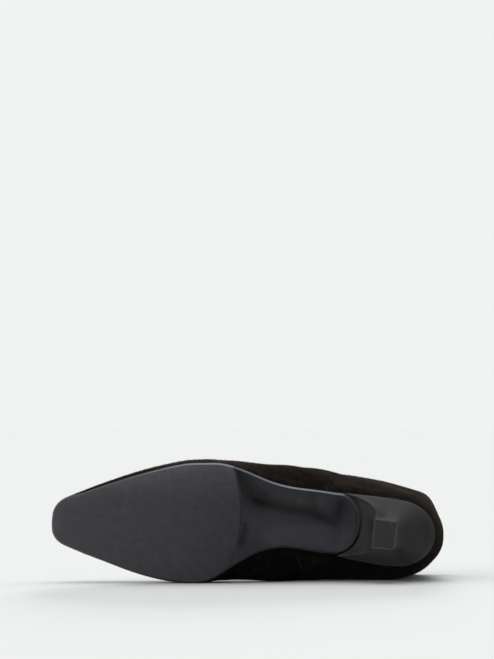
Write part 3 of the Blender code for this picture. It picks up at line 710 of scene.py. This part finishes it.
# The waist's hollows and swells in plan: points (shoe x, y), half width, height (up to the foot is minus).
# Its colour takes painted shade in the hollows and painted light on the swells
WAIST_FORM = (
    (((131, 31), (126, 23), (119, 17)), 7.0, -0.3),
    (((119, 17), (113, 14.5), (100, 11.5), (86, 9.5), (76, 5.5)), 4.0, -0.32),
    (((70, 2), (64, 8), (62, 15)), 4.0, -0.22),
    (((62, 13), (59.5, 8), (59, 2)), 3.0, -0.1),
    (((84, 21), (82, 11)), 2.2, -0.16),
    (((128, -3), (129.5, -13)), 3.5, -0.3),
    (((106, -9), (88, -8), (74, -8), (67, -13)), 8.5, 0.32),
    (((91.6, 15.6), (91.0, 15.2)), 2.5, 0.14),
    (((77.0, 16.8), (76.5, 16.4)), 3.0, 0.14),
)
# In each pair below, what it is for is gone at the first and full at the second. The waist's form ends ahead
# of the tread's rear edge, is only on faces that look down, and its painted shade and light are darkest and
# palest at these heights
FORM_ENDS = (0.5, -1.0)
FORM_DOWN = (0.7, 0.85)
FORM_SHADED = (-0.36, 0.24)
# The tongue's edge is eased outwards: along the shoe, and by how far a face looks up or down
TONGUE_EASE = 0.35
TONGUE_BEHIND = (76.0, 64.0)
TONGUE_SIDES = (0.9, 0.4)
# The lateral edge is drawn in towards the middle: how far, and where along the shoe that starts, is full,
# starts to end and has ended; across the shoe it starts and is full at the pair after the rows
EDGE_DRAWN = (
    (0.7, 136.0, 156.0, 236.0, 250.0),
    (0.4, 62.0, 70.0, 108.0, 122.0),
    (0.35, 165.0, 190.0, 240.0, 254.0),
)
LATERAL_FROM = (4.0, 16.0)
# The tread is painted paler towards the lateral side, as painted light where it faces up, its scuffs and ribs
# come and go, and it is duller than the waist. The waist is painted paler towards the medial side, as a
# painted reflection of the light above, with marks of handling
TREAD_BLEND = 0.5
TREAD_LIT_ACROSS = (8.0, 38.0)
TREAD_LIT_PALER = 0.55
SCUFF_DRIFT = 0.14
RIBS_LEFT = (0.3, 1.0)
TREAD_DULLNESS = 0.62
WAIST_DULLNESS = 0.3
# Painted reflection of the light above: the waist paler towards the medial side
WAIST_LIT_MEDIAL = (15.0, -4.0)
WAIST_LIT_SHARES = (0.95, 1.45)
WAIST_DRIFT = 0.25
# The edge's painted highlight, where its rounded rim catches the light: across the shoe, and along it from
# the toe and from the heel, where some is left
HIGHLIGHT_LATERAL = (-12.0, 15.0)
HIGHLIGHT_FROM_TOE = (212.0, 128.0)
HIGHLIGHT_FROM_HEEL = (62.0, 112.0)
HIGHLIGHT_AT_HEEL = 0.6

outsole = smoothed(merged_copy("outsole", "outsole_moulded", sharp=22.0))
toe, outer, down = (Vector(axis) for axis in (shoe_turn() * (1, 1, -1)).T)


def part_of_sole(face):
    """Which finish a face of the sole has: the step behind the tread is part of the bottom."""
    below = face.normal.dot(down) > BOTTOM_DOWN and abs(face.normal.dot(outer)) < BOTTOM_SIDEWAYS
    along = to_shoe(face.calc_center_median())[0]
    step = STEP_WITHIN[0] < along < STEP_WITHIN[1] and face.normal.dot(toe) < -BOTTOM_DOWN
    if below or step:
        return BOTTOM
    return EDGE if face.normal.dot(down) > EDGE_DOWN else WALL


def is_rim(edge):
    """A folded edge between the bottom and another finish."""
    parts = {face.material_index for face in edge.link_faces}
    return BOTTOM in parts and len(parts) == 2 and edge.calc_face_angle(0.0) > math.radians(RIM_FOLDS)


mesh = bmesh.new()
mesh.from_mesh(outsole.data)
for face in mesh.faces:
    face.material_index = part_of_sole(face)
bmesh.ops.bevel(mesh, geom=[edge for edge in mesh.edges if is_rim(edge)], offset=EDGE_ROUND * MM, segments=2,
                profile=0.5, affect="EDGES", clamp_overlap=True, material=EDGE)
mesh.to_mesh(outsole.data)
mesh.free()

points = to_shoe(read_points(outsole.data))
facing = read_points(outsole.data, "normal") @ shoe_turn()
form = np.zeros(len(points))
for line, width, height in WAIST_FORM:
    _, away, _ = nearest_on(line, points[:, :2])
    form += height * bell(away, width)
from_arch = points[:, 0] - TREAD_BACK + TREAD_BOW * (1 - ((points[:, 1] - TREAD_MIDDLE) / TREAD_HALF) ** 2)
form *= eased(from_arch, *FORM_ENDS)
# Painted shade and light for the waist's colour, from its form
mark_points(outsole, "waist_shade", form)
# Painted light where the tread rolls over
_, away, _ = nearest_on(ROLLED_EDGE, points[:, :2])
mark_points(outsole, "rolled_edge_light", bell(away, ROLLED_WIDTH))
points[:, 2] -= form * eased(-facing[:, 2], *FORM_DOWN)
ease = TONGUE_EASE * eased(points[:, 0], *TONGUE_BEHIND) * eased(np.abs(facing[:, 2]), *TONGUE_SIDES)
points[:, :2] += ease[:, None] * facing[:, :2]
drawn = sum(
    depth * eased(points[:, 0], start, full) * eased(points[:, 0], end, ebbing)
    for depth, start, full, ebbing, end in EDGE_DRAWN
)
points[:, 1] -= drawn * eased(points[:, 1], *LATERAL_FROM)
in_frame = to_frame(points)
in_frame[:, 2] = np.maximum(in_frame[:, 2], 0.0)
put_points(outsole.data, in_frame)

corners = np.zeros(len(outsole.data.loops), np.int32)
outsole.data.loops.foreach_get("vertex_index", corners)
flat = outsole.data.uv_layers.new(name="sole_plan")
flat.data.foreach_set("uv", points[corners][:, :2].astype(np.float32).ravel())


def on_plan(tree):
    """The place on the sole's plan in millimetres, whole and as its parts along and across the shoe."""
    plan = add_node(tree, "ShaderNodeUVMap", uv_map="sole_plan").outputs["UV"]
    parts = add_node(tree, "ShaderNodeSeparateXYZ", {"Vector": plan})
    return plan, parts.outputs["X"], parts.outputs["Y"]


# Thermoplastic rubber: the mould leaves the tread's ribs dull and grey with wear, with painted shade in their
# grooves, and the waist half glossy, with painted shade nearly black in its hollows and painted light on its
# swells. The nodes part the two, then colour the tread, then the waist
bottom_rubber, tree, shader = new_material("ribbed_tread_and_polished_waist", Specular_IOR_Level=0.25)
plan, length, width = on_plan(tree)
across = add_node(tree, "ShaderNodeMapRange", {"Value": width}, clamp=False,
                  From_Min=TREAD_MIDDLE, From_Max=TREAD_MIDDLE + TREAD_HALF).outputs["Result"]
squared = add_node(tree, "ShaderNodeMath", {0: across, 1: across}, operation="MULTIPLY")
bowed = add_node(tree, "ShaderNodeMapRange", {"Value": squared.outputs["Value"]}, clamp=False,
                 To_Min=TREAD_BOW, To_Max=0.0)
past_arch = add_node(tree, "ShaderNodeMath", {0: length, 1: bowed.outputs["Result"]}, operation="ADD")
tread = add_node(tree, "ShaderNodeMapRange", {"Value": past_arch.outputs["Value"]},
                 From_Min=TREAD_BACK - TREAD_BLEND, From_Max=TREAD_BACK + TREAD_BLEND).outputs["Result"]

slant = math.radians(RIB_SLANT)
across_ribs = [2 * math.pi / RIB_PITCH * share for share in (math.cos(slant), math.sin(slant), 0.0)]
phase = add_node(tree, "ShaderNodeVectorMath", {0: plan, 1: across_ribs}, operation="DOT_PRODUCT")
wave = add_node(tree, "ShaderNodeMath", {0: phase.outputs["Value"]}, operation="SINE")
ribs = add_node(tree, "ShaderNodeMapRange", {"Value": wave.outputs["Value"]}, From_Min=-0.6, From_Max=0.6)
wear = add_node(tree, "ShaderNodeTexNoise", {"Vector": plan}, Scale=1 / TREAD_PATCH,
                Detail=5.0, Roughness=0.6)
left = add_node(tree, "ShaderNodeMapRange", {"Value": wear.outputs["Fac"]},
                From_Min=0.35, From_Max=0.65, To_Min=RIBS_LEFT[0], To_Max=RIBS_LEFT[1])
from_mean = add_node(tree, "ShaderNodeMath", {0: ribs.outputs["Result"], 1: 0.5}, operation="SUBTRACT")
contrast = add_node(tree, "ShaderNodeMath", {
    0: from_mean.outputs["Value"], 1: left.outputs["Result"], 2: 0.5,
}, operation="MULTIPLY_ADD")
# Painted shade darkens the ribs' grooves
ribbed = add_node(tree, "ShaderNodeMix", {"Factor": contrast.outputs["Value"]}, data_type="RGBA",
                  A=linear(TREAD_GROOVE_SHADE), B=linear(TREAD_GREY))
# Painted light: the tread paler towards the lateral side, which faces up
lit_across = add_node(tree, "ShaderNodeMapRange", {"Value": width}, interpolation_type="SMOOTHSTEP",
                  From_Min=TREAD_LIT_ACROSS[0], From_Max=TREAD_LIT_ACROSS[1], To_Min=1.0, To_Max=1.0 + TREAD_LIT_PALER)
scuffs = add_node(tree, "ShaderNodeTexNoise", {"Vector": plan}, Scale=1 / SCUFF_PATCH,
                  Detail=6.0, Roughness=0.65)
scuffed = add_node(tree, "ShaderNodeMapRange", {"Value": scuffs.outputs["Fac"]}, clamp=False,
                   From_Min=NOISE_LOW, From_Max=NOISE_HIGH,
                   To_Min=1.0 - SCUFF_DRIFT, To_Max=1.0 + SCUFF_DRIFT)
# Painted light along the edge where the tread rolls over
edge = add_node(tree, "ShaderNodeAttribute", attribute_name="rolled_edge_light")
rolled_lit = add_node(tree, "ShaderNodeMapRange", {"Value": edge.outputs["Fac"]},
                  To_Min=1.0, To_Max=1.0 + ROLLED_LIT_PALER)
lit_and_scuffed = add_node(tree, "ShaderNodeMath", {0: lit_across.outputs["Result"], 1: scuffed.outputs["Result"]},
                operation="MULTIPLY")
paler = add_node(tree, "ShaderNodeMath", {0: lit_and_scuffed.outputs["Value"], 1: rolled_lit.outputs["Result"]},
                 operation="MULTIPLY")
tread_colour = add_node(tree, "ShaderNodeVectorMath", {
    0: ribbed.outputs["Result"], "Scale": paler.outputs["Value"],
}, operation="SCALE")

# Painted shade in the waist's hollows and painted light on its swells
swell = add_node(tree, "ShaderNodeAttribute", attribute_name="waist_shade")
raised = add_node(tree, "ShaderNodeMapRange", {"Value": swell.outputs["Fac"]},
                  From_Min=FORM_SHADED[0], From_Max=FORM_SHADED[1])
hollow_shaded = add_node(tree, "ShaderNodeMix", {"Factor": raised.outputs["Result"]}, data_type="RGBA",
                    A=linear(WAIST_HOLLOW_SHADE), B=linear(WAIST_GREY))
marks = add_node(tree, "ShaderNodeTexNoise", {"Vector": plan}, Scale=1 / WAIST_PATCH, Detail=4.0)
marked = add_node(tree, "ShaderNodeMapRange", {"Value": marks.outputs["Fac"]},
                  To_Min=-WAIST_DRIFT, To_Max=WAIST_DRIFT)
# Painted reflection: the waist paler towards the medial side, which tilts up to the light
medial = add_node(tree, "ShaderNodeMapRange", {"Value": width}, interpolation_type="SMOOTHSTEP",
                  From_Min=WAIST_LIT_MEDIAL[0], From_Max=WAIST_LIT_MEDIAL[1],
                  To_Min=WAIST_LIT_SHARES[0], To_Max=WAIST_LIT_SHARES[1])
lit_and_marked = add_node(tree, "ShaderNodeMath", {0: medial.outputs["Result"], 1: marked.outputs["Result"]},
                   operation="ADD")
waist_colour = add_node(tree, "ShaderNodeVectorMath", {
    0: hollow_shaded.outputs["Result"], "Scale": lit_and_marked.outputs["Value"],
}, operation="SCALE")

colour = add_node(tree, "ShaderNodeMix", {
    "Factor": tread, "A": waist_colour.outputs["Vector"], "B": tread_colour.outputs["Vector"],
}, data_type="RGBA")
dullness = add_node(tree, "ShaderNodeMapRange", {"Value": tread},
                    To_Min=WAIST_DULLNESS, To_Max=TREAD_DULLNESS)
relief = add_node(tree, "ShaderNodeMath", {0: ribs.outputs["Result"], 1: tread}, operation="MULTIPLY")
bump = add_node(tree, "ShaderNodeBump", {"Height": relief.outputs["Value"]}, Strength=0.6, Distance=0.2 * MM)
fill(shader, {
    "Base Color": colour.outputs["Result"], "Roughness": dullness.outputs["Result"],
    "Normal": bump.outputs["Normal"],
})

# The edge is trimmed and polished, so it takes the clearest highlight, and a painted highlight makes it
# palest along the lateral waist
edge_rubber, tree, shader = new_material("trimmed_sole_edge", Roughness=0.35)
_, length, width = on_plan(tree)
# A painted highlight, strongest along the lateral waist
lateral = add_node(tree, "ShaderNodeMapRange", {"Value": width}, interpolation_type="SMOOTHSTEP",
                   From_Min=HIGHLIGHT_LATERAL[0], From_Max=HIGHLIGHT_LATERAL[1])
toe_share = add_node(tree, "ShaderNodeMapRange", {"Value": length}, interpolation_type="SMOOTHSTEP",
                     From_Min=HIGHLIGHT_FROM_TOE[0], From_Max=HIGHLIGHT_FROM_TOE[1])
heel_share = add_node(tree, "ShaderNodeMapRange", {"Value": length}, interpolation_type="SMOOTHSTEP",
                      From_Min=HIGHLIGHT_FROM_HEEL[0], From_Max=HIGHLIGHT_FROM_HEEL[1], To_Min=HIGHLIGHT_AT_HEEL)
waist_share = add_node(tree, "ShaderNodeMath", {
    0: heel_share.outputs["Result"], 1: toe_share.outputs["Result"],
}, operation="MULTIPLY")
highlight_share = add_node(tree, "ShaderNodeMath", {0: lateral.outputs["Result"], 1: waist_share.outputs["Value"]},
                  operation="MULTIPLY")
colour = add_node(tree, "ShaderNodeMix", {"Factor": highlight_share.outputs["Value"]}, data_type="RGBA",
                  A=linear(EDGE_MEDIAL), B=linear(EDGE_HIGHLIGHT))
fill(shader, {"Base Color": colour.outputs["Result"]})

# The wall is as it leaves the mould: a satin black, between the edge's polish and the tread
wall_rubber, tree, shader = new_material("moulded_sole_wall", Roughness=0.45)
cloudy(tree, shader, WALL_BLACK, *WALL_CLOUD)
dressed(outsole, "outsole", [bottom_rubber, edge_rubber, wall_rubber])

# ------------------------------------------------------------------ heel
# The heel block is moulded in black plastic with a satin finish. Its breast is hollowed where the sole's
# tongue ends, its sides draw in to the top lift, and two ridges run from the lift's back corners.
HEEL_BLACK = "#3e3d3d"
HEEL_CLOUD = (11.0, 0.12)
# The mould's fine etching is a tenth of this and too fine to show, so it is drawn coarser
SATIN_GRAIN = 0.5
# The edge between the hollowed breast and the outer side is eased outwards along its middle
BREAST_EDGE = (
    (62.0, 21.0, 44.0), (54.1, 19.1, 37.6), (45.8, 14.8, 32.2), (41.7, 11.5, 27.1), (38.0, 5.0, 14.0),
)
BREAST_EASE = (-0.7, 0.8, 0.0)
BREAST_REACH = 5.0
# Where the satin is painted darker or paler, as shares of its colour: painted shade on the back, in the
# corner beside the sole's tongue and at the breast's foot by the lift, painted light on the breast's lateral
# part, and paler along the rim by the upper. A pair is where that starts and where it is full: the first two
# are how far a face looks forwards and backwards, the others are places in the shoe
BREAST_FACES = (0.3, 0.6)
BACK_FACES = (0.1, 0.35)
BACK_SHADED = 0.55
BACK_UP_CLEARS = 0.45
BACK_UP_Z = (10.0, 42.0)
BACK_OUT_CLEARS = 0.55
BACK_OUT_Y = (9.0, 15.0)
RIM_PALER = 0.5
RIM_REACH = 4.5
CORNER_SHADED = 0.35
CORNER_REACH = 3.5
CORNER_Y = (-2.0, 6.0)
BREAST_LIT = 0.14
BREAST_LIT_Y = (3.0, 9.0)
FOOT_SHADED = 0.27
FOOT_X = (46.5, 42.5)
FOOT_Y = (8.0, 2.0)

heel = smoothed(merged_copy("heel", "heel_block", sharp=30.0))
points = to_shoe(read_points(heel.data))
_, away, along = nearest_on(BREAST_EDGE, points)
points += np.array(BREAST_EASE) * (bell(away, BREAST_REACH) * np.sin(np.pi * along) ** 0.7)[:, None]
in_frame = to_frame(points)
put_points(heel.data, in_frame)

facing = read_points(heel.data, "normal") @ shoe_turn()
x, y, z = points.T
breast = eased(facing[:, 0], *BREAST_FACES)
back = eased(-facing[:, 0], *BACK_FACES)
back *= (1 - BACK_UP_CLEARS * eased(z, *BACK_UP_Z)) * (1 - BACK_OUT_CLEARS * eased(y, *BACK_OUT_Y))
by_upper = (1 - breast) * bell(distances(upper, in_frame), RIM_REACH)
by_sole = breast * bell(distances(outsole, in_frame), CORNER_REACH) * eased(y, *CORNER_Y)
# Painted shade and light on the satin
light_and_shade_share = (
    (1 - BACK_SHADED * back)
    * (1 + RIM_PALER * by_upper)
    * (1 - CORNER_SHADED * by_sole)
    * (1 + BREAST_LIT * breast * eased(y, *BREAST_LIT_Y))
    * (1 - FOOT_SHADED * breast * eased(x, *FOOT_X) * eased(y, *FOOT_Y))
)
mark_points(heel, "satin_light_and_shade", light_and_shade_share)

# Moulded ABS with an etched finish: a broad soft shine without a clear highlight, its back darkened with
# painted shade
heel_plastic, tree, shader = new_material("satin_moulded_heel", Specular_IOR_Level=0.04)
drift, clouds, place = cloudy(tree, shader, HEEL_BLACK, *HEEL_CLOUD)
satin_light_and_shade = add_node(tree, "ShaderNodeAttribute", attribute_name="satin_light_and_shade")
colour = add_node(tree, "ShaderNodeVectorMath", {0: drift.outputs["Vector"], "Scale": satin_light_and_shade.outputs["Fac"]},
                  operation="SCALE")
dullness = add_node(tree, "ShaderNodeMapRange", {"Value": clouds.outputs["Fac"]}, To_Min=0.4, To_Max=0.58)
etching = add_node(tree, "ShaderNodeTexNoise", {"Vector": place}, Scale=1 / (SATIN_GRAIN * MM), Detail=2.0)
grain = add_node(tree, "ShaderNodeBump", {"Height": etching.outputs["Fac"]}, Strength=0.12, Distance=0.1 * MM)
fill(shader, {
    "Base Color": colour.outputs["Vector"], "Roughness": dullness.outputs["Result"],
    "Normal": grain.outputs["Normal"],
})
dressed(heel, "heel", [heel_plastic])

# ------------------------------------------------------------------ top lift
# The top lift is the small wearing piece, moulded in hard black rubber with a fine grain, pinned to the
# heel. Its edges are bevelled and paler than the face, and its back corners rounded.
FACE, BEVEL = range(2)
LIFT_BLACK = "#282828"
LIFT_PALE = "#3b3a39"
LIFT_BEVEL_PALE = "#403e3d"
BEVEL_CLOUD = (2.0, 0.3)
# The real grain is about half of this and too fine to show, so it is drawn coarser
LIFT_GRAIN = 0.9
# Its top is pressed up against the heel by this much, none of it at the first height and all at the second
LIFT_PRESSED_ON = 0.28
LIFT_TOP = (4.0, 5.0)
# A bevel looks down by more than the first and less than the second
BEVEL_DOWN = (0.25, 0.95)

top_lift = smoothed(merged_copy("top_lift", "top_lift_rubber", sharp=30.0))
points = to_shoe(read_points(top_lift.data))
points[:, 2] += LIFT_PRESSED_ON * eased(points[:, 2], *LIFT_TOP)
put_points(top_lift.data, to_frame(points))
for polygon in top_lift.data.polygons:
    polygon.material_index = BEVEL if BEVEL_DOWN[0] < polygon.normal.dot(down) < BEVEL_DOWN[1] else FACE

# Hard rubber with a dull pebbled face, dark in the grain and paler on its tops
lift_rubber, tree, shader = new_material("grained_lift_rubber", Roughness=0.75, Specular_IOR_Level=0.25)
place = add_node(tree, "ShaderNodeTexCoord").outputs["Object"]
pebbles = add_node(tree, "ShaderNodeTexNoise", {"Vector": place}, Scale=1 / (LIFT_GRAIN * MM),
                   Detail=3.0, Roughness=0.7)
tops = add_node(tree, "ShaderNodeMapRange", {"Value": pebbles.outputs["Fac"]}, From_Min=0.35, From_Max=0.65)
colour = add_node(tree, "ShaderNodeMix", {"Factor": tops.outputs["Result"]}, data_type="RGBA",
                  A=linear(LIFT_BLACK), B=linear(LIFT_PALE))
grain = add_node(tree, "ShaderNodeBump", {"Height": pebbles.outputs["Fac"]}, Strength=0.6, Distance=0.3 * MM)
fill(shader, {"Base Color": colour.outputs["Result"], "Normal": grain.outputs["Normal"]})

# The bevel is the same rubber, smoother and paler than the face
lift_edge, tree, shader = new_material("pale_lift_edge", Roughness=0.6)
cloudy(tree, shader, LIFT_BEVEL_PALE, *BEVEL_CLOUD)
dressed(top_lift, "top_lift", [lift_rubber, lift_edge])

# ------------------------------------------------------------------ floor, light and camera
# The boot lies on a wide floor of pale paper in a white room, under a broad soft light from above and a low
# one from behind. A long lens looks at it from just above the floor.
FLOOR_SIZE = 400000.0
FLOOR_WHITE = "#eef0ee"
ROOM_BACK = "#f1f3f2"
ROOM_LEFT = "#b6b6b9"
ROOM_RIGHT = "#38383c"
CAMERA_PLACE = (313.4, -2461.2, 105.0)
CAMERA_TURN = 7.4
CAMERA_LENS = 192.8
CAMERA_SENSOR = 36.0
# The picture is shifted up by this share of its height
CAMERA_RISE = 0.151

bpy.ops.mesh.primitive_plane_add(size=FLOOR_SIZE * MM, location=(0.0, 0.0, 0.0))
floor = bpy.context.object
floor.name = "studio_floor"
# Uncoated paper: evenly pale, with no gloss
paper, _, _ = new_material("pale_paper", Roughness=1.0, Specular_IOR_Level=0.0,
                           Base_Color=linear(FLOOR_WHITE))
floor.data.materials.append(paper)


def soft_sun(name, elevation, azimuth, width, power):
    """A distant soft light: azimuth 0 shines from behind the boot towards the camera, width is its angle."""
    data = bpy.data.lights.new(name, "SUN")
    data.angle = math.radians(width)
    data.energy = power
    up, aside = math.radians(elevation), math.radians(azimuth)
    towards = Vector((math.sin(aside) * math.cos(up), math.cos(aside) * math.cos(up), math.sin(up)))
    new_object(name, data).rotation_euler = towards.to_track_quat("Z", "Y").to_euler()


soft_sun("overhead_softbox", elevation=76.0, azimuth=0.0, width=60.0, power=0.95)
soft_sun("back_light", elevation=11.0, azimuth=-5.0, width=12.0, power=3.1)
soft_sun("left_fill", elevation=14.0, azimuth=-142.0, width=50.0, power=0.9)

# The room is white behind the boot, and on the camera's side goes from pale at the left to dark at the right
world = bpy.data.worlds.new("white_room")
bpy.context.scene.world = world
world.use_nodes = True
tree = world.node_tree
towards = add_node(tree, "ShaderNodeTexCoord")
parts = add_node(tree, "ShaderNodeSeparateXYZ", {"Vector": towards.outputs["Generated"]})
rightwards = add_node(tree, "ShaderNodeMapRange", {"Value": parts.outputs["X"]}, From_Min=-0.7, From_Max=0.7)
near_side = add_node(tree, "ShaderNodeMix", {"Factor": rightwards.outputs["Result"]}, data_type="RGBA",
                     A=linear(ROOM_LEFT), B=linear(ROOM_RIGHT))
backwards = add_node(tree, "ShaderNodeMapRange", {"Value": parts.outputs["Y"]}, From_Min=0.0, From_Max=0.55)
room = add_node(tree, "ShaderNodeMix", {
    "Factor": backwards.outputs["Result"], "A": near_side.outputs["Result"],
}, data_type="RGBA", B=linear(ROOM_BACK))
fill(tree.nodes["Background"], {"Color": room.outputs["Result"]})

# Colours show as they are, with no film curve
bpy.context.scene.view_settings.view_transform = "Standard"

camera_data = bpy.data.cameras.new("camera")
camera_data.lens = CAMERA_LENS
camera_data.sensor_width = CAMERA_SENSOR
camera_data.shift_y = CAMERA_RISE
camera = new_object("camera", camera_data)
camera.location = [part * MM for part in CAMERA_PLACE]
camera.rotation_euler = (math.radians(90.0), 0.0, math.radians(CAMERA_TURN))
bpy.context.scene.camera = camera
